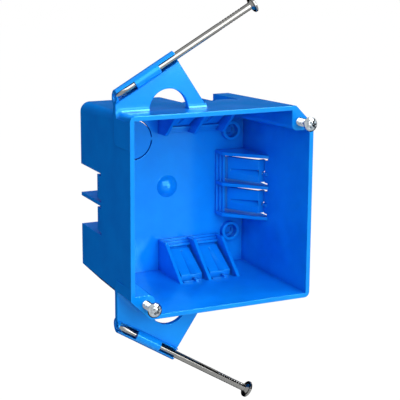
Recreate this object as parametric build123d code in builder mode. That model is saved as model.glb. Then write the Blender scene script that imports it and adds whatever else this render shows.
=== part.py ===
from build123d import *
from math import cos, hypot, radians, sin, tan
import os

# A four inch square nail-on outlet box, moulded in one piece with two nail ears,
# four pairs of cable clamps and two solid corners for the cover screws.
# Millimetres. X is across the box, +Y goes into it, +Z is up.
# The rim lies in the plane Y = 0 and the stud face is the plane X = -box_size / 2.

# Moulded shell
box_size = 101.6
box_depth = 69.85
wall = 2.3
back_inset = 2.0
corner_radius = 3.0
corner_growth = 2.0
inner_radius = 1.2
screw_corner_cut = 10.5
trim_margin = 1.0

# Solid corners and cover screws
boss_width = 12.7
boss_rounding = 3.0
screw_inset = 8.2
screw_hole_depth = 26.5
thread_clearance = 0.05
screw_diameter = 4.17
screw_length = 25.4
screw_standoff = 9.8
screw_head_diameter = 7.8
screw_head_height = 2.9
screw_slot_width = 1.1
screw_slot_depth = 1.3
screw_cross_span = 4.6

# Back wall: knockout, gate dome and mounting rings
knockout_diameter = 22.2
knockout_slit = 0.6
knockout_x = -20.0
knockout_z = 27.0
knockout_tab = 1.6
knockout_tab_count = 4
dome_diameter = 12.1
dome_height = 2.6
dome_wall = 1.6
ring_diameter = 10.5
ring_bore = 7.6
ring_height = 3.0
ring_inset = 12.7
ring_z = 28.5
ring_recess = 1.0
ring_disc_diameter = 4.8
ring_groove = 0.6
ring_groove_depth = 0.8
ring_tab = 1.1
ring_tab_count = 4

# Cable clamps, one pair at the middle of each back corner edge; reaches are measured
# from the side face of the box, heights from the inside of its back wall
clamp_width = 36.0
clamp_reach = 21.4
clamp_height = 28.3
clamp_shift = 12.7
rib_thickness = 1.8
rib_ledge = 8.7
notch_height = 24.2
notch_reach = 20.4
relief_width = 1.5
relief_length = 3.0
step_count = 3
step_width = 1.25
step_rise = 1.6
step_thickness = 2.3
tongue_thickness = 2.4
tongue_gap = 1.5
tongue_root_reach = 16.7
tongue_root_height = 5.9
tongue_bend_reach = 6.3
tongue_bend_height = 22.5
tongue_tip_reach = 2.0
tongue_tip_height = 22.3
hinge_thickness = 1.0
hinge_root = 0.4
groove_width = 3.6
groove_start_width = 1.6
groove_depth = 1.9
groove_start_depth = 0.5
groove_margin = 2.0
groove_shift = 1.1
groove_lead = 0.4
tip_notch_width = 1.8
tip_notch_length = 2.2
tip_notch_depth = 1.4
stub_length = 3.0
stub_height = 1.2
stub_thickness = 1.6

# Nail ears; reaches are measured from the stud face, stands from the top of the box
ear_front = 17.5
ear_thickness = 2.8
ear_foot_reach = 49.2
ear_top_reach = 33.0
ear_fillet = 2.0
foot_root = 0.4
foot_sink = 0.05
ear_window_reach = 28.5
ear_window_sink = 0.7
ear_window_radius = 10.6
pad_reach = 16.8
pad_radius = 3.0
pad_start = 0.8

# Nail channels along the free edge of each ear
nail_rise = 31.3
nail_lean = 5.0
nail_depth = 19.0
nail_stand = 6.9
channel_radius = 3.2
channel_length = 36.4
channel_cover_start = 11.9
channel_cover_end = 26.2
channel_lip = 0.8
channel_window_lower = 2.6

# Nails, 16d sinkers
nail_diameter = 3.76
nail_length = 82.55
nail_point = 6.5
nail_point_flat = 0.5
nail_head_diameter = 8.7
nail_head_height = 1.3
nail_head_taper = 1.2
nail_setback = 0.6
nail_clearance = 0.05

half_box = box_size / 2
screw_offset = half_box - screw_inset
ring_x = half_box - ring_inset
ear_foot_x = ear_foot_reach - half_box
ear_top_x = ear_top_reach - half_box
ear_window_x = ear_window_reach - half_box
ear_window_z = half_box - ear_window_sink
pad_edge = half_box - pad_reach
nail_height = half_box + nail_stand
nail_radius = nail_diameter / 2
back_inner = box_depth - wall
clamp_pitch = (clamp_width - rib_thickness) / 2
cell_width = clamp_pitch - rib_thickness


def inset_at(depth):
    """How far the drafted side faces stand in from the rim at a depth."""
    return back_inset * depth / box_depth


def corner_sum(vertex):
    """Sorts the corners of a face from lower left to upper right."""
    return vertex.X + vertex.Y


def centre_distance(vertex):
    """Distance of a sketch corner from the middle of the box."""
    return hypot(vertex.X, vertex.Y)


def shell_section(depth):
    """Outside of the box at a depth: two round corners, two cut corners."""
    size = box_size - 2 * inset_at(depth)
    with BuildSketch(Plane.XZ.offset(-depth)) as section:
        Rectangle(size, size)
        corners = section.vertices().sort_by(corner_sum)
        chamfer([corners[0], corners[-1]], screw_corner_cut)
        fillet(corners[1:3], corner_radius + corner_growth * depth / box_depth)
    return section.sketch


def cavity_section(depth):
    """Inside of the box at a depth, stepped round the two solid corners."""
    corner = half_box - inset_at(depth)
    size = 2 * (corner - wall)
    with BuildSketch(Plane.XZ.offset(-depth)) as section:
        Rectangle(size, size)
        with Locations((corner, corner), (-corner, -corner)):
            Rectangle(2 * boss_width, 2 * boss_width, mode=Mode.SUBTRACT)
        inward = section.vertices().sort_by(centre_distance)
        round_corners = section.vertices().sort_by(corner_sum)
        plain = [v for v in round_corners if abs(v.X + v.Y) < wall]
        fillet(inward[:2], boss_rounding)
        fillet(plain, inner_radius)
    return section.sketch


def clamp_plane(across, inward):
    """Section plane of a clamp pair: x from the side face inward, y into the box."""
    inward = Vector(*inward)
    return Plane(origin=Vector(*across) - inward * half_box, x_dir=inward, z_dir=inward.cross(Vector(0, 1, 0)))


# The pairs on the sides are mirror images of the pairs at the top and the bottom
upright_clamps = [clamp_plane((clamp_shift, 0, 0), (0, 0, side)) for side in (1, -1)]
side_clamps = [clamp_plane((0, 0, 0), (side, 0, 0)) for side in (-1, 1)]
cell_offsets = (-clamp_pitch / 2, clamp_pitch / 2)
rib_offsets = (-clamp_pitch, 0, clamp_pitch)

# Heights above the back wall as depths in the box
clamp_front = back_inner - clamp_height
wall_edge = back_inner - notch_height
rib_end = wall + inset_at(clamp_front)
tongue_root = Vector(tongue_root_reach, back_inner - tongue_root_height)
tongue_bend = Vector(tongue_bend_reach, back_inner - tongue_bend_height)
tongue_tip = Vector(tongue_tip_reach, back_inner - tongue_tip_height)


def cell_sketch(*points):
    """Face through the given points in the section plane of a clamp pair."""
    with BuildSketch() as section:
        with BuildLine():
            Polyline(*points, close=True)
        make_face()
    return section.sketch


# What is cut away behind the tongues, so that a cable can come in at the back corner.
# Both clamp parts are drawn with x inward from the side face and y into the box.
with BuildPart() as clamp_opening:
    corner = cell_sketch(
        (-trim_margin, wall_edge),
        (rib_end + trim_margin, wall_edge),
        (notch_reach, back_inner - trim_margin),
        (notch_reach, box_depth + trim_margin),
        (-trim_margin, box_depth + trim_margin),
    )
    with Locations(*[(0, 0, offset) for offset in cell_offsets]):
        add(extrude(corner, amount=cell_width / 2, both=True, mode=Mode.PRIVATE))
    relief_offset = (cell_width - relief_width) / 2
    relief_size = (2 * (rib_end + trim_margin), 2 * relief_length, relief_width)
    with Locations(*[(0, wall_edge, offset + end * relief_offset) for offset in cell_offsets for end in (-1, 1)]):
        Box(*relief_size)

tongue_line = (tongue_bend - tongue_root).normalized()
tongue_facing = Vector(-tongue_line.Y, tongue_line.X)
tongue_length = (tongue_bend - tongue_root).length


def groove_section(along, across, width, depth):
    """Section of a tongue's groove: one steep side, and a floor that rises to the other."""
    middle = tongue_root + tongue_line * along
    with BuildSketch(Plane(origin=(middle.X, middle.Y, across), x_dir=(0, 0, 1), z_dir=tongue_line)) as section:
        side = -1 if tongue_line.cross(Vector(0, 0, 1)).dot(tongue_facing) > 0 else 1
        with BuildLine():
            Polyline(
                (-width / 2, -side * trim_margin),
                (width / 2, -side * trim_margin),
                (width / 2, 0),
                (width / 2 - groove_lead, side * depth),
                (-width / 2, 0),
                close=True,
            )
        make_face()
    return section.sketch


# Three tall ribs close the ends of a pair and part its two cells; each cell has a
# stepped root, a thin hinge, and a sloping tongue whose tip is bent to face the rim
under = tongue_facing * -tongue_thickness
tip_line = (tongue_tip - tongue_bend).normalized()
tip_under = Vector(tip_line.Y, -tip_line.X) * tongue_thickness
hinge_face = tongue_root + under * (1 - hinge_thickness / tongue_thickness)
stair = [
    Vector(clamp_reach - run * step_width, back_inner - rise * step_rise)
    for run, rise in [(n // 2, (n + 1) // 2) for n in range(2 * step_count + 1)]
]
with BuildPart() as clamp_pair:
    rib = cell_sketch(
        (clamp_reach, box_depth),
        (clamp_reach, back_inner - rib_ledge),
        (rib_end, clamp_front),
        (inset_at(clamp_front), clamp_front),
        (back_inset, box_depth),
    )
    steps = cell_sketch(
        (clamp_reach, box_depth),
        *stair,
        stair[-1] + Vector(0, step_thickness),
        (notch_reach, box_depth),
    )
    tongue = cell_sketch(
        tongue_root,
        tongue_bend,
        tongue_tip,
        tongue_tip + tip_under,
        tongue_bend + (under + tip_under) / 2,
        tongue_root + under,
    )
    hinge = cell_sketch(
        hinge_face,
        tongue_root + under,
        stair[-1] + Vector(hinge_root, step_thickness),
        stair[-1] + Vector(hinge_root, step_thickness - hinge_thickness),
    )
    for offset in rib_offsets:
        extrude(rib.moved(Location((0, 0, offset - rib_thickness / 2))), amount=rib_thickness)
    for offset in cell_offsets:
        step_start = offset - cell_width / 2
        tongue_start = step_start + tongue_gap
        tongue_width = cell_width - 2 * tongue_gap
        extrude(steps.moved(Location((0, 0, step_start))), amount=cell_width)
        extrude(hinge.moved(Location((0, 0, tongue_start))), amount=tongue_width)
        extrude(tongue.moved(Location((0, 0, tongue_start))), amount=tongue_width)

        # Groove that gets wider and deeper towards the tip, and the notch at the tip
        groove_at = offset - groove_shift
        start = groove_section(groove_margin, groove_at, groove_start_width, groove_start_depth)
        end = groove_section(tongue_length, groove_at, groove_width, groove_depth)
        loft([start, end], ruled=True, mode=Mode.SUBTRACT)
        with Locations((tongue_tip.X, tongue_tip.Y, groove_at)):
            Box(2 * tip_notch_length, 2 * tip_notch_depth, tip_notch_width, mode=Mode.SUBTRACT)

        # Stub on the side wall, in line with the notch
        with Locations((rib_end, wall_edge - stub_length / 2, groove_at)):
            Box(2 * stub_height, stub_length, stub_thickness)


# Nail line of the upper ear: from the stud face, rising and leaning towards the rim
rise = radians(nail_rise)
lean = radians(nail_lean)
nail_direction = Vector(cos(rise) * cos(lean), -sin(lean), sin(rise) * cos(lean))
nail_front = Vector(-cos(rise) * sin(lean), -cos(lean), -sin(rise) * sin(lean))
nail_origin = Vector(-half_box, nail_depth, nail_height)
nail_section = Plane(origin=nail_origin, x_dir=nail_front, z_dir=nail_direction)
nail_side = Plane(origin=nail_origin, x_dir=nail_direction, z_dir=nail_front)
ear_back = ear_front + ear_thickness
ear_root = half_box - inset_at(ear_front) - wall / 2
ear_top = nail_height + (ear_top_x + half_box) * tan(rise)


def channel_window(start, end):
    """Opens the front of the nail channel between two distances along the nail."""
    height = nail_radius + channel_window_lower
    with BuildSketch(nail_side.offset(-nail_radius)) as window:
        with Locations(((start + end) / 2, nail_radius - height / 2)):
            Rectangle(end - start, height)
    extrude(window.sketch, amount=nail_diameter + channel_radius, mode=Mode.SUBTRACT)


def foot_fillet(depth, away, cut_corner):
    """Concave foot of an ear plate, swept round the stud corner to the free edge of the ear."""
    side = half_box - inset_at(max(depth, depth - away * ear_fillet)) - foot_sink
    with BuildLine(Plane.XZ.offset(-depth)) as path:
        if cut_corner:
            Polyline((-side, side - screw_corner_cut), (screw_corner_cut - side, side), (ear_foot_x, side))
        else:
            JernArc((-side, side - corner_radius), (0, 1), corner_radius, -90)
            Line((corner_radius - side, side), (ear_foot_x, side))
    tangent = path.line % 0
    outward = tangent.cross(Vector(0, 1, 0))
    with BuildSketch(Plane(origin=path.line @ 0, x_dir=outward, z_dir=tangent)) as profile:
        middle = (ear_fillet - foot_root) / 2
        with Locations((middle, away * middle)):
            Rectangle(ear_fillet + foot_root, ear_fillet + foot_root)
        with Locations((ear_fillet, away * ear_fillet)):
            Circle(ear_fillet, mode=Mode.SUBTRACT)
    return sweep(profile.sketch, path=path.line, transition=Transition.RIGHT, mode=Mode.PRIVATE)


def nail_ear(cut_corner):
    """Upper ear: flat plate with a rounded foot, nail channel along its free edge, half-round window."""
    corner = screw_corner_cut + wall if cut_corner else 2 * corner_radius
    with BuildPart() as ear:
        with BuildSketch(Plane.XZ.offset(-ear_front)):
            with BuildLine():
                Polyline(
                    (-half_box, half_box - corner),
                    (-half_box, nail_height),
                    (ear_top_x, ear_top),
                    (ear_top_x, ear_top - channel_window_lower / cos(rise)),
                    (ear_foot_x, half_box),
                    (ear_foot_x, ear_root),
                    (corner - half_box, ear_root),
                    close=True,
                )
            make_face()
        extrude(amount=-ear_thickness)
        add(foot_fillet(ear_front, 1, cut_corner))
        add(foot_fillet(ear_back, -1, cut_corner))
        with BuildSketch(nail_section.offset(-channel_length / 2)):
            Circle(channel_radius)
        extrude(amount=1.5 * channel_length)
        channel_window(channel_lip, channel_cover_start)
        channel_window(channel_cover_end, channel_length + trim_margin)
        with BuildSketch(nail_section):
            Circle(nail_radius + nail_clearance)
        extrude(amount=2 * channel_length, both=True, mode=Mode.SUBTRACT)
        with BuildSketch(Plane.XZ):
            with Locations((ear_window_x, ear_window_z)):
                Circle(ear_window_radius)
        extrude(amount=-box_depth, mode=Mode.SUBTRACT)
        split(bisect_by=Plane.YZ.offset(-half_box), keep=Keep.TOP)
    return ear.part


def stud_pad(near, far, side):
    """Flat pad on the stud side, from near to far of the middle, above or below it."""
    with BuildSketch(Plane.YZ.offset(-half_box)) as pad:
        with Locations(((pad_start + ear_back) / 2, side * (near + far) / 2)):
            Rectangle(ear_back - pad_start, far - near)
        inner = pad.vertices().group_by(Axis.X)[-1].sort_by(centre_distance)[:1]
        fillet(inner, pad_radius)
    extrude(pad.sketch, amount=wall - inset_at(ear_back))


def cap_radius(half_width, height):
    """Radius of the sphere whose cap has this half width and height."""
    return (half_width**2 + height**2) / (2 * height)


def spherical_cap(half_width, height, base):
    """Half section of a round cap standing on a base line and facing the rim."""
    with BuildSketch() as cap:
        with BuildLine():
            Line((0, base), (half_width, base))
            RadiusArc((half_width, base), (0, base - height), cap_radius(half_width, height))
            Line((0, base - height), (0, base))
        make_face()
    return cap.sketch


# Box: shell, solid corners, clamps, back wall details and both ears in one moulding
with BuildPart() as box_body:
    loft([shell_section(0), shell_section(box_depth)], ruled=True)
    loft([cavity_section(0), cavity_section(back_inner)], ruled=True, mode=Mode.SUBTRACT)

    mirrored_pair = mirror(clamp_pair.part, about=Plane.XY, mode=Mode.PRIVATE)
    for places, pair in ((upright_clamps, clamp_pair.part), (side_clamps, mirrored_pair)):
        for place in places:
            add(clamp_opening.part.moved(place.location), mode=Mode.SUBTRACT)
            add(pair.moved(place.location))

    # Ears: the upper one stands on a round corner of the box, the lower one on a cut corner
    add(nail_ear(False))
    mirror(nail_ear(True), about=Plane.XY)
    stud_pad(pad_edge, half_box - corner_radius, 1)
    stud_pad(pad_edge, half_box - screw_corner_cut - inset_at(ear_back), -1)

    # Screw holes in the solid corners
    with Locations(Plane.XZ):
        with Locations((screw_offset, screw_offset), (-screw_offset, -screw_offset)):
            Hole(screw_diameter / 2 + thread_clearance, screw_hole_depth)

    # Mounting rings, each with a small disc marked out by grooves at the bottom of its bore
    with BuildSketch(Plane.XZ.offset(-back_inner)):
        with Locations((ring_x, ring_z), (ring_x, -ring_z)):
            Circle(ring_diameter / 2)
    extrude(amount=ring_height)
    with BuildSketch(Plane.XZ.offset(-back_inner - ring_recess)):
        with Locations((ring_x, ring_z), (ring_x, -ring_z)):
            Circle(ring_bore / 2)
    extrude(amount=ring_height + ring_recess, mode=Mode.SUBTRACT)
    with BuildSketch(Plane.XZ.offset(-back_inner - ring_recess)):
        with Locations((ring_x, ring_z), (ring_x, -ring_z)):
            Circle(ring_disc_diameter / 2)
            Circle(ring_disc_diameter / 2 - ring_groove, mode=Mode.SUBTRACT)
            with PolarLocations(ring_disc_diameter / 2, ring_tab_count, start_angle=45):
                Rectangle(4 * ring_groove, ring_tab, mode=Mode.SUBTRACT)
    extrude(amount=-ring_groove_depth, mode=Mode.SUBTRACT)

    # Gate dome in the middle of the back, hollow from outside
    revolve(spherical_cap(dome_diameter / 2, dome_height, back_inner), axis=Axis.Y)
    gate = spherical_cap(dome_diameter / 2 - dome_wall, dome_height - dome_wall / 2, box_depth)
    revolve(gate, axis=Axis.Y, mode=Mode.SUBTRACT)

    # Knockout: a slit ring bridged by short tabs
    with BuildSketch(Plane.XZ.offset(-back_inner + trim_margin)):
        with Locations((knockout_x, knockout_z)):
            Circle(knockout_diameter / 2)
            Circle(knockout_diameter / 2 - knockout_slit, mode=Mode.SUBTRACT)
            with PolarLocations(knockout_diameter / 2, knockout_tab_count):
                Rectangle(4 * knockout_slit, knockout_tab, mode=Mode.SUBTRACT)
    extrude(amount=-wall - 2 * trim_margin, mode=Mode.SUBTRACT)

# Upper nail: head, tapered seat, shank and four-sided point, set in its channel
nail_start = nail_setback / (cos(rise) * cos(lean))
nail_end = nail_start + nail_length
with BuildPart() as upper_nail:
    with BuildSketch(nail_side):
        with BuildLine():
            Polyline(
                (nail_start, 0),
                (nail_start, nail_radius),
                (nail_end - nail_head_taper, nail_radius),
                (nail_end, 2 * nail_radius - nail_radius / 3),
                (nail_end, nail_head_diameter / 2),
                (nail_end + nail_head_height, nail_head_diameter / 2),
                (nail_end + nail_head_height, 0),
                close=True,
            )
        make_face()
    revolve(axis=Axis(nail_origin, nail_direction))
    tip = nail_section.offset(nail_start).origin
    for point_plane in (
        Plane(origin=tip, x_dir=nail_direction, z_dir=nail_front),
        Plane(origin=tip, x_dir=nail_direction, z_dir=nail_front).rotated((90, 0, 0)),
    ):
        with BuildSketch(point_plane):
            with BuildLine():
                Polyline(
                    (-trim_margin, nail_point_flat / 2),
                    (0, nail_point_flat / 2),
                    (nail_point, nail_radius),
                    (nail_point, nail_diameter),
                    (-trim_margin, nail_diameter),
                    close=True,
                )
            make_face()
            mirror(about=Plane.XZ)
        extrude(amount=nail_diameter, both=True, mode=Mode.SUBTRACT)

with BuildPart() as lower_nail:
    mirror(upper_nail.part, about=Plane.XY)


def cover_screw(corner):
    """Round head screw standing out of a solid corner, slot and cross in its head."""
    radius = screw_diameter / 2
    head = screw_head_diameter / 2
    top = screw_standoff + screw_head_height
    with BuildPart() as screw:
        with BuildSketch(Plane(origin=(corner, 0, corner), x_dir=(0, -1, 0), z_dir=(0, 0, 1))):
            with BuildLine():
                Line((screw_standoff - screw_length, 0), (screw_standoff - screw_length, radius * 0.7))
                Line((screw_standoff - screw_length, radius * 0.7), (screw_standoff - screw_length + radius * 0.3, radius))
                Line((screw_standoff - screw_length + radius * 0.3, radius), (screw_standoff, radius))
                Line((screw_standoff, radius), (screw_standoff, head))
                RadiusArc((screw_standoff, head), (top, 0), cap_radius(head, screw_head_height))
                Line((top, 0), (screw_standoff - screw_length, 0))
            make_face()
        revolve(axis=Axis((corner, 0, corner), (0, -1, 0)))
        with BuildSketch(Plane.XZ.offset(top)):
            with Locations((corner, corner)):
                Rectangle(screw_head_diameter, screw_slot_width, rotation=45)
                Rectangle(screw_slot_width, screw_cross_span, rotation=45)
        extrude(amount=-screw_slot_depth, mode=Mode.SUBTRACT)
    return screw.part


parts = {
    "box_body": box_body.part,
    "upper_nail": upper_nail.part,
    "lower_nail": lower_nail.part,
    "upper_right_screw": cover_screw(screw_offset),
    "lower_left_screw": cover_screw(-screw_offset),
}

os.makedirs("parts", exist_ok=True)
for name, piece in parts.items():
    piece.label = name
    export_step(piece, f"parts/{name}.step")
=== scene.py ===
# %% [markdown]
# A square nail-on outlet box, dressed for the camera.
# The CAD parts come in as a fixed frame. The blue moulding keeps its CAD shape and
# gets a finish. The two nails and the two cover screws are modelled again here,
# because their grip marks and threads are too fine for the CAD model.

# %% Frame
from math import cos, pi, radians, sin, tau

import bmesh
import bpy
from mathutils import Matrix, Vector


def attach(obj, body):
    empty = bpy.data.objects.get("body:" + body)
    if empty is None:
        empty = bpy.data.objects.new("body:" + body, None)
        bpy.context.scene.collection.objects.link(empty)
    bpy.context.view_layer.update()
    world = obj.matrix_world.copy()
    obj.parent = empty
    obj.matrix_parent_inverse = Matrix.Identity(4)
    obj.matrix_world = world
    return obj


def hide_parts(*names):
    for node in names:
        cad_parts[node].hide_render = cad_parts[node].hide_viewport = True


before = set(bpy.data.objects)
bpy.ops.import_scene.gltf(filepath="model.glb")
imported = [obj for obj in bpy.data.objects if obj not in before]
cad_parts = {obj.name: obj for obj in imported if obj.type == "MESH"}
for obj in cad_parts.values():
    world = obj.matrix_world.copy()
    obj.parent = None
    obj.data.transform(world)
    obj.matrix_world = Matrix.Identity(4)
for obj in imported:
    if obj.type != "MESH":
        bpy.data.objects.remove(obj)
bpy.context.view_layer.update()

mm = 0.001

# %% [markdown]
# The camera stands where the photograph was taken from: in front of the box, to its
# left and a little above. It could follow a target with a constraint. It is aimed
# with a turn, a tilt and a slight roll instead, because those three angles are what
# a photograph gives.

# %% Camera
camera_place = Vector((-279.53, -531.91, 140.61)) * mm
camera_turn = radians(26.563)
camera_tilt = radians(12.636)
camera_roll = radians(0.363)
camera_lens = 111.57
sensor_width = 36.0
nearest_seen = 0.01
farthest_seen = 20.0

level_ahead = Vector((sin(camera_turn), cos(camera_turn), 0)) * cos(camera_tilt)
ahead = level_ahead - Vector((0, 0, sin(camera_tilt)))
level_right = ahead.cross(Vector((0, 0, 1))).normalized()
level_up = level_right.cross(ahead)
right = level_right * cos(camera_roll) + level_up * sin(camera_roll)
up = level_up * cos(camera_roll) - level_right * sin(camera_roll)
camera = bpy.data.objects.new("camera", bpy.data.cameras.new("camera"))
camera_axes = Matrix((right, up, -ahead)).transposed()
camera.matrix_world = Matrix.Translation(camera_place) @ camera_axes.to_4x4()
camera.data.sensor_width = sensor_width
camera.data.lens = camera_lens
camera.data.clip_start = nearest_seen
camera.data.clip_end = farthest_seen
bpy.context.scene.collection.objects.link(camera)
bpy.context.scene.camera = camera
print("camera distance:", round(camera_place.length, 3), "m")

# %% [markdown]
# Colours are written as the eye knows them, as sRGB hex values. Blender mixes light in
# linear values, so one function turns a hex value to linear. A second function adds a
# shader node, sets it up and fills or links its sockets, and a third starts an empty
# material. Nodes could be placed by hand in the editor, but a script can be read.


# %% Colour and node helpers
def linear(hex_colour):
    """Linear RGBA of an sRGB hex colour."""
    channels = [int(hex_colour[n : n + 2], 16) / 255 for n in (1, 3, 5)]
    return (*[c / 12.92 if c <= 0.04045 else ((c + 0.055) / 1.055) ** 2.4 for c in channels], 1.0)


def add_node(tree, kind, settings=None, inputs=None):
    """Adds a shader node, sets its attributes, and fills or links its inputs."""
    node = tree.nodes.new(kind)
    for name, value in (settings or {}).items():
        setattr(node, name, value)
    for name, value in (inputs or {}).items():
        if isinstance(value, bpy.types.NodeSocket):
            tree.links.new(value, node.inputs[name])
        else:
            node.inputs[name].default_value = value
    return node


def new_material(name):
    """An empty node material and its tree."""
    material = bpy.data.materials.new(name)
    material.use_nodes = True
    material.node_tree.nodes.clear()
    return material, material.node_tree


print("linear middle grey:", round(linear("#808080")[0], 3))

# %% [markdown]
# The box is a thermoplastic injection moulding with blue pigment right through it.
# One flat blue would look like paint. The real colour has faint clouds, where the melt
# cooled at different speeds, and fine pale lines, rubbed while it lay in a carton. An
# image could carry both, but noise needs no file and no unwrapped mesh, and its scale
# is a real length: the distance from one cloud or one rub to the next.

# %% Blue moulded thermoplastic: pigment and clouds
moulding_blue = "#0890F4"
moulding_deep_blue = "#0486EC"
cloud_size = 16 * mm
cloud_detail = 3.0
cloud_limits = (0.35, 0.65)

blue_moulding, tree = new_material("moulded_thermoplastic_blue")
place = add_node(tree, "ShaderNodeTexCoord").outputs["Object"]
cloud = add_node(
    tree,
    "ShaderNodeTexNoise",
    inputs={"Vector": place, "Scale": 1 / cloud_size, "Detail": cloud_detail},
)
cloud_tone = add_node(
    tree,
    "ShaderNodeMapRange",
    inputs={
        "Value": cloud.outputs["Fac"],
        "From Min": cloud_limits[0],
        "From Max": cloud_limits[1],
        "To Min": 0.0,
        "To Max": 1.0,
    },
)
pigment = add_node(
    tree,
    "ShaderNodeMix",
    settings={"data_type": "RGBA"},
    inputs={
        "Factor": cloud_tone.outputs["Result"],
        "A": linear(moulding_blue),
        "B": linear(moulding_deep_blue),
    },
)
print("clouds every", round(cloud_size / mm, 1), "mm")

# %% Blue moulded thermoplastic: rubbed lines
rubbed_blue = "#3C9BF5"
rub_spacing = 2.2 * mm
rub_detail = 5.0
rub_roughness = 0.7
rub_turn = (0.4, 0.7, 0.5)
rub_stretch = 9.0
rub_limits = (0.64, 0.74)
rub_strength = 0.2

stretched = add_node(
    tree,
    "ShaderNodeMapping",
    inputs={"Vector": place, "Rotation": rub_turn, "Scale": (1.0, rub_stretch, 1.0)},
)
rubs = add_node(
    tree,
    "ShaderNodeTexNoise",
    inputs={
        "Vector": stretched.outputs["Vector"],
        "Scale": 1 / (rub_stretch * rub_spacing),
        "Detail": rub_detail,
        "Roughness": rub_roughness,
    },
)
rub_mask = add_node(
    tree,
    "ShaderNodeMapRange",
    inputs={
        "Value": rubs.outputs["Fac"],
        "From Min": rub_limits[0],
        "From Max": rub_limits[1],
        "To Min": 0.0,
        "To Max": rub_strength,
    },
)
skin_colour = add_node(
    tree,
    "ShaderNodeMix",
    settings={"data_type": "RGBA"},
    inputs={
        "Factor": rub_mask.outputs["Result"],
        "A": pigment.outputs["Result"],
        "B": linear(rubbed_blue),
    },
)
print("rubs every", round(rub_spacing / mm, 1), "mm")

# %% [markdown]
# Light that reaches a slot or a corner has met the blue plastic more than once, so it
# comes back deeper. More light bounces would show that, slowly. The ambient occlusion
# node is quicker: it measures how closed in a point is within a few millimetres, and
# the colour moves to a deeper blue there. It looks at this mesh alone, so a nail or a
# screw that slides past doesn't change the plastic.

# %% Blue moulded thermoplastic: deeper colour in the hollows
hollow_blue = "#0450CC"
hollow_reach = 6 * mm
hollow_limits = (0.15, 0.85)
hollow_samples = 6

hollow = add_node(
    tree,
    "ShaderNodeAmbientOcclusion",
    settings={"samples": hollow_samples, "only_local": True},
    inputs={"Distance": hollow_reach},
)
openness = add_node(
    tree,
    "ShaderNodeMapRange",
    inputs={
        "Value": hollow.outputs["AO"],
        "From Min": hollow_limits[0],
        "From Max": hollow_limits[1],
        "To Min": 0.0,
        "To Max": 1.0,
    },
)
shaded_colour = add_node(
    tree,
    "ShaderNodeMix",
    settings={"data_type": "RGBA"},
    inputs={
        "Factor": openness.outputs["Result"],
        "A": linear(hollow_blue),
        "B": skin_colour.outputs["Result"],
    },
)
print("hollows are shaded within", round(hollow_reach / mm, 1), "mm")

# %% [markdown]
# The part comes glossy out of a polished tool. Its reflections have soft edges, from a
# very slight orange peel and a finer grain. Displacement could raise both, but they
# are only hundredths of a millimetre high, so bump is enough. Moulded edges are never
# knife sharp: the bevel node rounds how they shade, and the mesh stays as the CAD
# made it. The highlights on this blue lean to cyan, so the gloss has a cyan tint.

# %% Blue moulded thermoplastic: gloss and rounded edges
moulding_roughness = (0.10, 0.20)
gloss_limits = (0.3, 0.7)
edge_rounding = 0.5 * mm
edge_samples = 6

gloss = add_node(
    tree,
    "ShaderNodeMapRange",
    inputs={
        "Value": cloud.outputs["Fac"],
        "From Min": gloss_limits[0],
        "From Max": gloss_limits[1],
        "To Min": moulding_roughness[0],
        "To Max": moulding_roughness[1],
    },
)
rounded = add_node(
    tree, "ShaderNodeBevel", settings={"samples": edge_samples}, inputs={"Radius": edge_rounding}
)
print("edges look rounded by", round(edge_rounding / mm, 1), "mm")

# %% Blue moulded thermoplastic: orange peel and grain
peel_size = 1.4 * mm
peel_detail = 1.0
peel_strength = 0.12
peel_height = 0.05 * mm
# Real tool grain is finer than a tenth of a millimetre, too fine to show in the render.
grain_size = 0.35 * mm
grain_detail = 2.0
grain_strength = 0.10
grain_height = 0.02 * mm

peel = add_node(
    tree,
    "ShaderNodeTexNoise",
    inputs={"Vector": place, "Scale": 1 / peel_size, "Detail": peel_detail},
)
peel_bump = add_node(
    tree,
    "ShaderNodeBump",
    inputs={
        "Height": peel.outputs["Fac"],
        "Strength": peel_strength,
        "Distance": peel_height,
        "Normal": rounded.outputs["Normal"],
    },
)
grain = add_node(
    tree,
    "ShaderNodeTexNoise",
    inputs={"Vector": place, "Scale": 1 / grain_size, "Detail": grain_detail},
)
grain_bump = add_node(
    tree,
    "ShaderNodeBump",
    inputs={
        "Height": grain.outputs["Fac"],
        "Strength": grain_strength,
        "Distance": grain_height,
        "Normal": peel_bump.outputs["Normal"],
    },
)
print("peel every", round(peel_size / mm, 1), "mm, grain every", round(grain_size / mm, 2), "mm")

# %% Blue moulded thermoplastic: the skin
thermoplastic_ior = 1.5
moulding_shine = 0.8
gloss_tint = "#70ECFF"

skin = add_node(
    tree,
    "ShaderNodeBsdfPrincipled",
    inputs={
        "Base Color": shaded_colour.outputs["Result"],
        "Roughness": gloss.outputs["Result"],
        "IOR": thermoplastic_ior,
        "Specular IOR Level": moulding_shine,
        "Specular Tint": linear(gloss_tint),
        "Normal": grain_bump.outputs["Normal"],
    },
)
add_node(tree, "ShaderNodeOutputMaterial", inputs={"Surface": skin.outputs["BSDF"]})
print("nodes in the blue:", len(tree.nodes))

# %% [markdown]
# The moulding is one piece on the real box and one node in the CAD model. Its shape is
# right as it comes, so it could only be copied or replaced to no gain. It keeps its
# mesh and its place, and takes the blue as its one material.

# %% Blue on the moulding
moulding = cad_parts["box_body"]
moulding.data.materials.clear()
moulding.data.materials.append(blue_moulding)
print("moulding faces:", len(moulding.data.polygons))

# %% [markdown]
# The nails are cut from bright drawn steel wire: bare metal, which shows nothing but
# reflections. Drawing leaves long fine lines along the shank. Anisotropic gloss would
# blur them into one streak, so a noise is squeezed across the wire and stretched along
# it instead, and single lines can be seen. Each nail lies along its own Z axis, and
# the lines turn with it.

# %% Bright drawn steel
bright_steel = "#A2A2A0"
dull_steel = "#646361"
steel_roughness = (0.08, 0.22)
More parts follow.
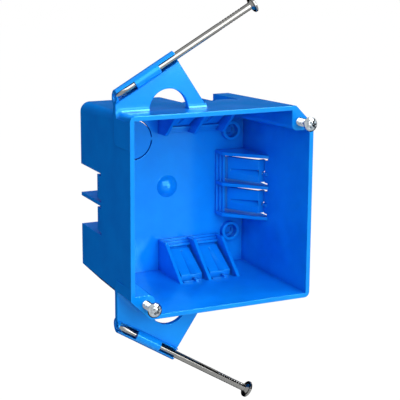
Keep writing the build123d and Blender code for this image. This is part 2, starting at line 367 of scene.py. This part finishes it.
# Real drawing lines are hundredths of a millimetre wide, too fine to show in the render.
draw_line_width = 0.25 * mm
draw_line_length = 12 * mm
draw_line_detail = 4.0
draw_line_strength = 0.25
draw_line_depth = 0.03 * mm

nail_steel, tree = new_material("bright_drawn_steel")
place = add_node(tree, "ShaderNodeTexCoord").outputs["Object"]
along = add_node(
    tree,
    "ShaderNodeMapping",
    inputs={"Vector": place, "Scale": (1 / draw_line_width, 1 / draw_line_width, 1 / draw_line_length)},
)
draw_lines = add_node(
    tree,
    "ShaderNodeTexNoise",
    inputs={"Vector": along.outputs["Vector"], "Scale": 1.0, "Detail": draw_line_detail},
)
steel_colour = add_node(
    tree,
    "ShaderNodeMix",
    settings={"data_type": "RGBA"},
    inputs={"Factor": draw_lines.outputs["Fac"], "A": linear(bright_steel), "B": linear(dull_steel)},
)
steel_gloss = add_node(
    tree,
    "ShaderNodeMapRange",
    inputs={
        "Value": draw_lines.outputs["Fac"],
        "To Min": steel_roughness[0],
        "To Max": steel_roughness[1],
    },
)
line_bump = add_node(
    tree,
    "ShaderNodeBump",
    inputs={
        "Height": draw_lines.outputs["Fac"],
        "Strength": draw_line_strength,
        "Distance": draw_line_depth,
    },
)
wire = add_node(
    tree,
    "ShaderNodeBsdfPrincipled",
    inputs={
        "Base Color": steel_colour.outputs["Result"],
        "Metallic": 1.0,
        "Roughness": steel_gloss.outputs["Result"],
        "Normal": line_bump.outputs["Normal"],
    },
)
add_node(tree, "ShaderNodeOutputMaterial", inputs={"Surface": wire.outputs["BSDF"]})
print("nodes in the steel:", len(tree.nodes))

# %% [markdown]
# The cover screws are steel with a clear zinc plating: cooler and brighter than bare
# steel, with cloudy patches where the plating lay unevenly. Shade in the driver recess
# and between the threads is painted into the colour. It could be painted point by
# point, but the ambient occlusion node finds each recess by itself.

# %% Clear zinc plating: cloudy patches
zinc_bright = "#D8E0E6"
zinc_cloudy = "#6C767D"
zinc_roughness = (0.08, 0.20)
# Real patches are smaller. These are as coarse as they need to be to show in the render.
plating_patch = 1.5 * mm
patch_detail = 3.0
patch_strength = 0.6
patch_height = 0.09 * mm

screw_zinc, tree = new_material("zinc_plated_steel")
place = add_node(tree, "ShaderNodeTexCoord").outputs["Object"]
patches = add_node(
    tree,
    "ShaderNodeTexNoise",
    inputs={"Vector": place, "Scale": 1 / plating_patch, "Detail": patch_detail},
)
zinc_colour = add_node(
    tree,
    "ShaderNodeMix",
    settings={"data_type": "RGBA"},
    inputs={"Factor": patches.outputs["Fac"], "A": linear(zinc_bright), "B": linear(zinc_cloudy)},
)
print("patches every", round(plating_patch / mm, 1), "mm")

# %% Clear zinc plating: painted shade in the recesses, and the surface
# Painted shade: the near black that the zinc takes in the recess and between the threads.
recess_painted_shade = "#2C3033"
recess_shade_reach = 1.2 * mm
recess_shade_limits = (0.25, 0.65)
recess_shade_samples = 6

recess_occlusion = add_node(
    tree,
    "ShaderNodeAmbientOcclusion",
    settings={"samples": recess_shade_samples, "only_local": True},
    inputs={"Distance": recess_shade_reach},
)
recess_lit = add_node(
    tree,
    "ShaderNodeMapRange",
    inputs={
        "Value": recess_occlusion.outputs["AO"],
        "From Min": recess_shade_limits[0],
        "From Max": recess_shade_limits[1],
        "To Min": 0.0,
        "To Max": 1.0,
    },
)
# Painted shade: the zinc colour is mixed towards near black where a recess is closed in.
shaded_zinc = add_node(
    tree,
    "ShaderNodeMix",
    settings={"data_type": "RGBA"},
    inputs={
        "Factor": recess_lit.outputs["Result"],
        "A": linear(recess_painted_shade),
        "B": zinc_colour.outputs["Result"],
    },
)
zinc_gloss = add_node(
    tree,
    "ShaderNodeMapRange",
    inputs={"Value": patches.outputs["Fac"], "To Min": zinc_roughness[0], "To Max": zinc_roughness[1]},
)
patch_bump = add_node(
    tree,
    "ShaderNodeBump",
    inputs={"Height": patches.outputs["Fac"], "Strength": patch_strength, "Distance": patch_height},
)
plating = add_node(
    tree,
    "ShaderNodeBsdfPrincipled",
    inputs={
        "Base Color": shaded_zinc.outputs["Result"],
        "Metallic": 1.0,
        "Roughness": zinc_gloss.outputs["Result"],
        "Normal": patch_bump.outputs["Normal"],
    },
)
add_node(tree, "ShaderNodeOutputMaterial", inputs={"Surface": plating.outputs["BSDF"]})
print("nodes in the zinc:", len(tree.nodes))

# %% [markdown]
# A nail is cut from wire: the cutter leaves a four-sided point, and the machine that
# strikes the head bites grip marks into the wire under it. A cylinder with each of
# these cut out of it would need many cuts. Here the nail is a stack of rings with the
# same number of points, and only the radius changes: small and square at the point,
# round along the shank, nicked where the grip marks are, and wide at the head.

# %% Nail sizes
nail_radius = 1.88 * mm
nail_length = 82.55 * mm
nail_point = 6.5 * mm
nail_point_flat = 0.25 * mm
head_radius = 4.35 * mm
head_height = 1.3 * mm
head_taper = 1.2 * mm
head_seat_radius = 3.13 * mm
head_rounding = 0.25 * mm
ring_points = 32
grip_start = 62.0 * mm
grip_end = 78.0 * mm
grip_spacing = 1.6 * mm
grip_depth = 0.28 * mm
grip_half_width = 0.35 * mm
grip_side = 0.45


def shank_radius(height, angle):
    """Radius of the nail at a height above its point and an angle round it."""
    square = nail_point_flat + (nail_radius - nail_point_flat) * min(height / nail_point, 1.0)
    radius = min(nail_radius, square / max(abs(cos(angle)), abs(sin(angle))))
    if grip_start < height < grip_end:
        nearest = round((height - grip_start) / grip_spacing) * grip_spacing + grip_start
        nick = max(0.0, 1 - abs(height - nearest) / grip_half_width)
        side = max(0.0, (abs(sin(angle)) - grip_side) / (1 - grip_side))
        radius -= grip_depth * nick * side
    return radius


print("nail length:", round((nail_length + head_height) / mm, 2), "mm")

# %% [markdown]
# Rings have to be joined into a skin, and the skin has to know which edges are sharp.
# Subdivision would round the nicks away. Plain quads between the rings keep them, and
# an edge stays sharp when its two faces meet at more than a set angle.

# %% Ring mesh helpers
crease_angle = radians(35)


def stack_rings(shape, rings):
    """Joins rings of points into a closed skin, with a flat cap at each end."""
    rows = [[shape.verts.new(point) for point in ring] for ring in rings]
    for low, high in zip(rows, rows[1:]):
        for n in range(len(low)):
            following = (n + 1) % len(low)
            shape.faces.new((low[n], low[following], high[following], high[n]))
    shape.faces.new(list(reversed(rows[0])))
    shape.faces.new(rows[-1])


def round_ring(radius, height, points=ring_points):
    """One ring of points at a height."""
    angles = [tau * n / points for n in range(points)]
    return [(radius * cos(angle), radius * sin(angle), height) for angle in angles]


def smooth_by_angle(mesh):
    """Shades a mesh smooth, apart from the edges that are sharper than a crease."""
    shape = bmesh.new()
    shape.from_mesh(mesh)
    for face in shape.faces:
        face.smooth = True
    for edge in shape.edges:
        edge.smooth = len(edge.link_faces) == 2 and edge.calc_face_angle(0) < crease_angle
    shape.to_mesh(mesh)
    shape.free()


print("points in a ring:", len(round_ring(nail_radius, 0.0)))

# %% [markdown]
# A framing nail's head is struck with a checkered face that keeps the hammer from
# slipping, and a screw's head with a recess for the driver. Either could be drawn in
# bump. Here both are cut out of the mesh with a boolean, which is then applied, so
# that the grooves are in the mesh itself and there from every side.


# %% Boolean helpers
def box_mesh(size, place, turn=0.0):
    """A block of that size, turned about Z and set at a place, as a mesh."""
    shape = bmesh.new()
    bmesh.ops.create_cube(shape, size=1.0)
    bmesh.ops.scale(shape, vec=size, verts=shape.verts)
    bmesh.ops.rotate(shape, matrix=Matrix.Rotation(turn, 3, "Z"), verts=shape.verts)
    bmesh.ops.translate(shape, vec=place, verts=shape.verts)
    mesh = bpy.data.meshes.new("cutter")
    shape.to_mesh(mesh)
    shape.free()
    return mesh


def cut_away(mesh, cutters):
    """Cuts each cutter mesh out of a mesh and returns the new mesh."""
    body = bpy.data.objects.new("cut_body", mesh)
    bpy.context.scene.collection.objects.link(body)
    tools = []
    for cutter in cutters:
        tool = bpy.data.objects.new("cut_tool", cutter)
        bpy.context.scene.collection.objects.link(tool)
        tools.append(tool)
        step = body.modifiers.new("cut", "BOOLEAN")
        step.operation = "DIFFERENCE"
        step.solver = "EXACT"
        step.object = tool
    bpy.context.view_layer.update()
    depsgraph = bpy.context.evaluated_depsgraph_get()
    result = bpy.data.meshes.new_from_object(body.evaluated_get(depsgraph))
    for extra in [body, *tools]:
        bpy.data.objects.remove(extra)
    return result


test_block = box_mesh((2 * mm, mm, mm), (0, 0, 0))
print("a cutter block has", len(test_block.vertices), "corners")
bpy.data.meshes.remove(test_block)

# %% [markdown]
# The rings stand close together where the grip marks are and far apart elsewhere, so
# the faces go where the detail is. The checkered face is five grooves each way. Each
# bar that cuts one is longer than the head is wide, and half of it stands above it.

# %% Nail mesh
point_steps = (0.0, 0.25, 0.5, 0.75, 1.0, 1.4)
shank_steps = (0.33, 0.6)
check_spacing = 1.25 * mm
check_width = 0.35 * mm
check_depth = 0.2 * mm
check_count = 5
cutter_reach = 3

heights = [step * nail_point for step in point_steps]
heights += [step * nail_length for step in shank_steps]
grip_steps = int((grip_end - grip_start) / (grip_half_width / 2))
heights += [grip_start + (grip_end - grip_start) * n / grip_steps for n in range(grip_steps + 1)]
heights.append(nail_length - head_taper)
angles = [tau * n / ring_points for n in range(ring_points)]
rings = [
    [(shank_radius(height, a) * cos(a), shank_radius(height, a) * sin(a), height) for a in angles]
    for height in heights
]
rings.append(round_ring(head_seat_radius, nail_length))
rings.append(round_ring(head_radius - head_rounding, nail_length))
rings.append(round_ring(head_radius, nail_length + head_rounding))
rings.append(round_ring(head_radius, nail_length + head_height - head_rounding))
rings.append(round_ring(head_radius - head_rounding, nail_length + head_height))

shape = bmesh.new()
stack_rings(shape, rings)
plain_nail = bpy.data.meshes.new("plain_nail")
shape.to_mesh(plain_nail)
shape.free()
head_top = nail_length + head_height
bar_size = (cutter_reach * head_radius, check_width, 2 * check_depth)
bars = []
for n in range(check_count):
    aside = (n - (check_count - 1) / 2) * check_spacing
    for turn in (0, pi / 2):
        offset = Matrix.Rotation(turn, 3, "Z") @ Vector((0, aside, head_top))
        bars.append(box_mesh(bar_size, offset, turn))
nail_mesh = cut_away(plain_nail, bars)
nail_mesh.name = "nail"
smooth_by_angle(nail_mesh)
print("nail mesh:", len(nail_mesh.polygons), "faces")

# %% [markdown]
# Both nails lie along the free edges of the ears. They start at the stud face, rise
# away from the box and lean a little towards the rim. Each could be turned by three
# angles, but a matrix made of its own three axes says more plainly where it points.
# The lower nail is the upper one mirrored in the middle plane of the box.

# %% Nails in place
nail_rise = radians(31.3)
nail_lean = radians(5.0)
nail_start = Vector((-50.8, 19.0, 57.7)) * mm
nail_recess = 0.6 * mm
nail_setback = nail_recess / (cos(nail_rise) * cos(nail_lean))


def nail_place(side):
    """Matrix that lays a nail in the ear above (1) or below (-1) the box."""
    rise = side * sin(nail_rise)
    along = Vector((cos(nail_rise) * cos(nail_lean), -sin(nail_lean), rise * cos(nail_lean)))
    across = Vector((0, 0, 1)).cross(along).normalized()
    third = along.cross(across)
    start = Vector((nail_start.x, nail_start.y, side * nail_start.z)) + along * nail_setback
    return Matrix.Translation(start) @ Matrix((across, third, along)).transposed().to_4x4()


for name, side in (("upper_nail", 1), ("lower_nail", -1)):
    nail = bpy.data.objects.new(name + "_bright", nail_mesh.copy())
    nail.data.materials.clear()
    nail.data.materials.append(nail_steel)
    nail.matrix_world = nail_place(side)
    bpy.context.scene.collection.objects.link(nail)
    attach(nail, name + "_body")
    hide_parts(name)
    print(nail.name, "starts at", [round(x / mm, 1) for x in nail.matrix_world.translation], "mm")

# %% [markdown]
# A screw thread is one ridge wound round the shank. The Screw modifier could sweep it,
# but its ends would stay open and blunt. Here the mesh follows the ridge: each row of
# points climbs by one pitch in a full turn, and its last point joins the row one pitch
# higher. The ridge stays sharp with only a few rows to each pitch, and runs out at
# both ends.

# %% Screw thread
# A number 8 screw has 32 threads to the inch.
screw_pitch = 25.4 / 32 * mm
screw_length = 25.4 * mm
thread_radius = 2.085 * mm
core_radius = 1.62 * mm
thread_points = 28
thread_rows = 6
thread_profile = (0.0, 0.0, 0.55, 1.0, 1.0, 0.45)
plain_length = 0.6 * mm
end_taper = 1.2 * mm
weld_distance = 0.001 * mm
most_end_sides = 4 * thread_points


def thread_point(row, n):
    """Point n round the shank on one row of the thread."""
    climb = (row / thread_rows + n / thread_points) * screw_pitch
    height = min(max(climb, 0.0), screw_length)
    ridge = thread_profile[row % thread_rows] * (thread_radius - core_radius)
    run_in = min(height / end_taper, (screw_length - plain_length - height) / end_taper, 1.0)
    radius = core_radius + ridge * max(run_in, 0.0)
    angle = tau * n / thread_points
    return radius * cos(angle), radius * sin(angle), height


shape = bmesh.new()
turns = int(screw_length / screw_pitch) + 2
rows = [
    [shape.verts.new(thread_point(row, n)) for n in range(thread_points + 1)]
    for row in range(-thread_rows, turns * thread_rows)
]
for low, high in zip(rows, rows[1:]):
    for n in range(thread_points):
        shape.faces.new((low[n], low[n + 1], high[n + 1], high[n]))
bmesh.ops.remove_doubles(shape, verts=shape.verts, dist=weld_distance)
bmesh.ops.dissolve_degenerate(shape, edges=shape.edges, dist=weld_distance)
open_edges = [edge for edge in shape.edges if edge.is_boundary]
bmesh.ops.holes_fill(shape, edges=open_edges, sides=most_end_sides)
bmesh.ops.recalc_face_normals(shape, faces=shape.faces)
thread_mesh = bpy.data.meshes.new("thread")
shape.to_mesh(thread_mesh)
shape.free()
smooth_by_angle(thread_mesh)
print("thread mesh:", len(thread_mesh.polygons), "faces")

# %% [markdown]
# The head is a low dome with a flat underside: part of a sphere, which could be cut
# from one, but rings at chosen heights give an even mesh and a rounded lower edge. It
# takes either driver: a slot runs right across it, and a cross recess with tapered
# wings is struck into its middle.

# %% Screw head
screw_head_radius = 3.9 * mm
screw_head_height = 2.9 * mm
dome_steps = 10
head_points = 48
neck_overlap = 0.2 * mm
lower_edge_rounding = 0.15 * mm
lower_edge_height = 0.12 * mm
sphere_radius = (screw_head_radius**2 + screw_head_height**2) / (2 * screw_head_height)
sphere_centre = screw_head_height - sphere_radius


def dome_radius(height):
    """Radius of the head's dome at a height above its underside."""
    return max(sphere_radius**2 - (height - sphere_centre) ** 2, 0.0) ** 0.5


dome_heights = [screw_head_height * sin(pi / 2 * n / dome_steps) for n in range(1, dome_steps)]
rings = [round_ring(core_radius, -neck_overlap, head_points)]
rings.append(round_ring(core_radius, 0.0, head_points))
rings.append(round_ring(screw_head_radius - lower_edge_rounding, 0.0, head_points))
rings.append(round_ring(dome_radius(lower_edge_height), lower_edge_height, head_points))
rings += [round_ring(dome_radius(height), height, head_points) for height in dome_heights]
shape = bmesh.new()
stack_rings(shape, rings)
plain_head = bpy.data.meshes.new("plain_head")
shape.to_mesh(plain_head)
shape.free()
print("plain head:", len(plain_head.polygons), "faces")

# %% [markdown]
# The punch for the cross recess has four wings, wide and long at the top and narrow
# below. Two wings make one straight block with slanted ends, so the cross is cut by
# two such blocks at right angles, and the slot by a third, plain one.

# %% Slot and cross recess
slot_width = 1.1 * mm
slot_depth = 1.15 * mm
wing_reach = 2.6 * mm
wing_width = 1.25 * mm
wing_depth = 1.9 * mm
wing_clearance = 0.2 * mm
wing_floor_reach = 0.45 * wing_reach
wing_floor_width = 0.6 * wing_width
recess_turn = radians(45)


def wing_mesh(turn):
    """Cutter for two opposite wings of the cross recess."""
    shape = bmesh.new()
    top = screw_head_height + wing_clearance
    floor = screw_head_height - wing_depth
    outline = [
        (-wing_reach, wing_width, top),
        (wing_reach, wing_width, top),
        (wing_floor_reach, wing_floor_width, floor),
        (-wing_floor_reach, wing_floor_width, floor),
    ]
    near, far = [
        [shape.verts.new((reach, side * width / 2, height)) for reach, width, height in outline]
        for side in (-1, 1)
    ]
    shape.faces.new(near)
    shape.faces.new(list(reversed(far)))
    for n in range(len(near)):
        following = (n + 1) % len(near)
        shape.faces.new((near[following], near[n], far[n], far[following]))
    bmesh.ops.recalc_face_normals(shape, faces=shape.faces)
    bmesh.ops.rotate(shape, matrix=Matrix.Rotation(turn, 3, "Z"), verts=shape.verts)
    mesh = bpy.data.meshes.new("wing")
    shape.to_mesh(mesh)
    shape.free()
    return mesh


slot_size = (cutter_reach * screw_head_radius, slot_width, 2 * slot_depth)
slot_cutter = box_mesh(slot_size, (0, 0, screw_head_height), recess_turn)
wings = [wing_mesh(recess_turn), wing_mesh(recess_turn + pi / 2)]
head_mesh = cut_away(plain_head, [slot_cutter, *wings])
smooth_by_angle(head_mesh)
print("screw head mesh:", len(head_mesh.polygons), "faces")

# %% [markdown]
# Head and thread are joined to one piece, because on the real screw they are one. A
# boolean union could weld them, but the head's neck already stands inside the thread,
# so their meshes are simply put together. The screws stand square to the rim in the
# two solid corners, still proud of it, as they are delivered: a cover slips under the
# heads before they are driven home.

# %% Screws in place
screw_corner = 42.6 * mm
screw_standoff = 9.8 * mm

shape = bmesh.new()
shape.from_mesh(thread_mesh)
first_head_vertex = len(shape.verts)
shape.from_mesh(head_mesh)
shape.verts.ensure_lookup_table()
bmesh.ops.translate(shape, vec=(0, 0, screw_length), verts=shape.verts[first_head_vertex:])
screw_mesh = bpy.data.meshes.new("cover_screw")
shape.to_mesh(screw_mesh)
shape.free()

for name, body, side in (
    ("upper_right_screw", "upper_screw_body", 1),
    ("lower_left_screw", "lower_screw_body", -1),
):
    screw = bpy.data.objects.new(name + "_plated", screw_mesh.copy())
    screw.data.materials.clear()
    screw.data.materials.append(screw_zinc)
    root = Vector((side * screw_corner, screw_length - screw_standoff, side * screw_corner))
    screw.matrix_world = Matrix.Translation(root) @ Matrix.Rotation(pi / 2, 4, "X")
    bpy.context.scene.collection.objects.link(screw)
    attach(screw, body)
    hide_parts(name)
    print(screw.name, "has its root at", [round(x / mm, 1) for x in root], "mm")

# %% [markdown]
# The box hangs by its stud side, over a pale paper floor well below it, and the
# photograph's background is pure white. A very bright floor would give that white but
# flood the box from below. So the floor asks which rays reach it: the camera's and the
# reflections' find it glowing white, and all other light finds grey paper, which
# keeps the shadow. Seen from below, it lets the camera through.

# %% Floor sheet
floor_height = -0.42
floor_size = 12.0

shape = bmesh.new()
bmesh.ops.create_grid(shape, x_segments=1, y_segments=1, size=floor_size / 2)
bmesh.ops.translate(shape, vec=(0, 0, floor_height), verts=shape.verts)
floor_mesh = bpy.data.meshes.new("floor")
shape.to_mesh(floor_mesh)
shape.free()
floor = bpy.data.objects.new("floor", floor_mesh)
bpy.context.scene.collection.objects.link(floor)
print("floor height:", floor_height, "m")

# %% Pale paper
floor_shade = "#A8A8A6"
floor_glow = 1.15
glow_share = 0.85
plain_white = (1, 1, 1, 1)

floor_paper, tree = new_material("pale_paper")
ray = add_node(tree, "ShaderNodeLightPath")
paper = add_node(tree, "ShaderNodeBsdfDiffuse", inputs={"Color": linear(floor_shade)})
glow = add_node(tree, "ShaderNodeEmission", inputs={"Color": plain_white, "Strength": floor_glow})
seen = add_node(
    tree,
    "ShaderNodeMath",
    settings={"operation": "MAXIMUM"},
    inputs={0: ray.outputs["Is Camera Ray"], 1: ray.outputs["Is Glossy Ray"]},
)
share = add_node(
    tree,
    "ShaderNodeMath",
    settings={"operation": "MULTIPLY"},
    inputs={0: seen.outputs[0], 1: glow_share},
)
mixed = add_node(
    tree,
    "ShaderNodeMixShader",
    inputs={0: share.outputs[0], 1: paper.outputs["BSDF"], 2: glow.outputs["Emission"]},
)
clear = add_node(tree, "ShaderNodeBsdfTransparent")
underside = add_node(tree, "ShaderNodeNewGeometry").outputs["Backfacing"]
one_sided = add_node(
    tree,
    "ShaderNodeMixShader",
    inputs={0: underside, 1: mixed.outputs["Shader"], 2: clear.outputs["BSDF"]},
)
add_node(tree, "ShaderNodeOutputMaterial", inputs={"Surface": one_sided.outputs["Shader"]})
floor.data.materials.append(floor_paper)
print("nodes in the paper:", len(tree.nodes))

# %% [markdown]
# The same question is asked of the world all round. The camera, reflections and clear
# materials find it white, at a strength of 1. The light that it sheds on the object is
# weaker and a little blue, as the shadows in the photograph are. A sky picture could
# light the box too, but it would colour it and put a landscape into the metal.

# %% World
sky_light = 0.52
sky_tint = "#DDE6FF"

world = bpy.data.worlds.new("studio")
world.use_nodes = True
world.node_tree.nodes.clear()
tree = world.node_tree
ray = add_node(tree, "ShaderNodeLightPath")
seen = add_node(
    tree,
    "ShaderNodeMath",
    settings={"operation": "MAXIMUM"},
    inputs={0: ray.outputs["Is Camera Ray"], 1: ray.outputs["Is Transmission Ray"]},
)
reflected = add_node(
    tree,
    "ShaderNodeMath",
    settings={"operation": "MAXIMUM"},
    inputs={0: seen.outputs[0], 1: ray.outputs["Is Glossy Ray"]},
)
strength = add_node(
    tree,
    "ShaderNodeMapRange",
    inputs={"Value": reflected.outputs[0], "To Min": sky_light, "To Max": 1.0},
)
sky_colour = add_node(
    tree,
    "ShaderNodeMix",
    settings={"data_type": "RGBA"},
    inputs={"Factor": reflected.outputs[0], "A": linear(sky_tint), "B": plain_white},
)
backdrop = add_node(
    tree,
    "ShaderNodeBackground",
    inputs={"Color": sky_colour.outputs["Result"], "Strength": strength.outputs["Result"]},
)
add_node(tree, "ShaderNodeOutputWorld", inputs={"Surface": backdrop.outputs["Background"]})
bpy.context.scene.world = world
print("sky light:", sky_light)

# %% [markdown]
# A photographer would light this box with soft boxes, and so does the scene. A sun lamp
# would be one line less, but its shadows have hard edges. The largest lamp stands in
# front, above and a little right: the rim and the ears are bright, the outside on the
# left stays deep blue, and the light falls off into the box. A small one overhead
# draws the thin highlights along the nail channels, and one behind shows the back.
# Two more are seen in reflections alone, so they make gloss and no brighter blue: one
# on the fronts of the ears and the rim, the other along the edges that face it.


# %% Lamps
def facing(place, aim, front):
    """Matrix of something that stands at a place and turns its front axis to a point."""
    turn = (Vector(aim) - Vector(place)).to_track_quat(front, "Y")
    return Matrix.Translation(place) @ turn.to_matrix().to_4x4()


def soft_lamp(name, place, aim, size, power):
    """A square area lamp that faces a point."""
    lamp = bpy.data.lights.new(name, "AREA")
    lamp.size = size
    lamp.energy = power
    holder = bpy.data.objects.new(name, lamp)
    holder.matrix_world = facing(place, aim, "-Z")
    bpy.context.scene.collection.objects.link(holder)
    return holder


box_middle = (0, 0, 0)
upper_ear = (0, 0, 0.05)
# Each lamp's place and aim in metres, its size in metres and its power in watts.
lamps = {
    "front_lamp": ((0.05, -1.40, 0.60), box_middle, 1.4, 23.0),
    "top_lamp": ((0.45, -0.25, 1.05), box_middle, 0.30, 4.0),
    "back_lamp": ((0.80, 1.25, 0.90), box_middle, 1.2, 12.0),
    "ear_lamp": ((0.45, -1.10, 0.09), upper_ear, 0.32, 1.8),
    "shine_lamp": ((0.48, -0.22, 0.95), box_middle, 0.7, 25.0),
}
gloss_only = ("ear_lamp", "shine_lamp")
for name, (place, aim, size, power) in lamps.items():
    holder = soft_lamp(name, place, aim, size, power)
    holder.visible_diffuse = name not in gloss_only
print("lamps:", ", ".join(lamps))

# %% [markdown]
# Bright metal in a white room reflects white and loses its shape. Photographers hang
# black cards just out of view, which give it dark lines. The white could be cut down
# instead, but then the background would turn grey. These cards, too, are seen by
# reflections alone: behind the box, low behind it, and at its right.


# %% Dark cards
def dark_card(name, place, aim, size, shade):
    """A dark square out of view, which faces a point and which only reflections see."""
    shape = bmesh.new()
    bmesh.ops.create_grid(shape, x_segments=1, y_segments=1, size=size / 2)
    mesh = bpy.data.meshes.new(name)
    shape.to_mesh(mesh)
    shape.free()
    card = bpy.data.objects.new(name, mesh)
    card.matrix_world = facing(place, aim, "Z")
    bpy.context.scene.collection.objects.link(card)
    card.visible_camera = False
    card.visible_diffuse = False
    card.visible_shadow = False
    card.data.materials.append(shade)


felt_black = "#0C0D10"
card_black, tree = new_material("matt_black_card")
felt = add_node(tree, "ShaderNodeBsdfDiffuse", inputs={"Color": linear(felt_black)})
add_node(tree, "ShaderNodeOutputMaterial", inputs={"Surface": felt.outputs["BSDF"]})
# Each card's place and aim in metres, and its size in metres.
cards = {
    "back_card": ((0, 1.25, 0.1), (0, 0, 0.1), 3.2),
    "low_back_card": ((0, 1.60, -0.41), (0, 1.60, 0), 3.0),
    "right_card": ((1.20, -0.50, 0.65), box_middle, 2.0),
}
for name, (place, aim, size) in cards.items():
    dark_card(name, place, aim, size, card_black)
print("cards:", ", ".join(cards))

# %% [markdown]
# The last cell keeps the view transform plain, so that colours come out as written. A
# filmic transform would soften the highlights, but it would also grey the blue.

# %% Finish
bpy.context.scene.view_settings.view_transform = "Standard"
bpy.context.view_layer.update()
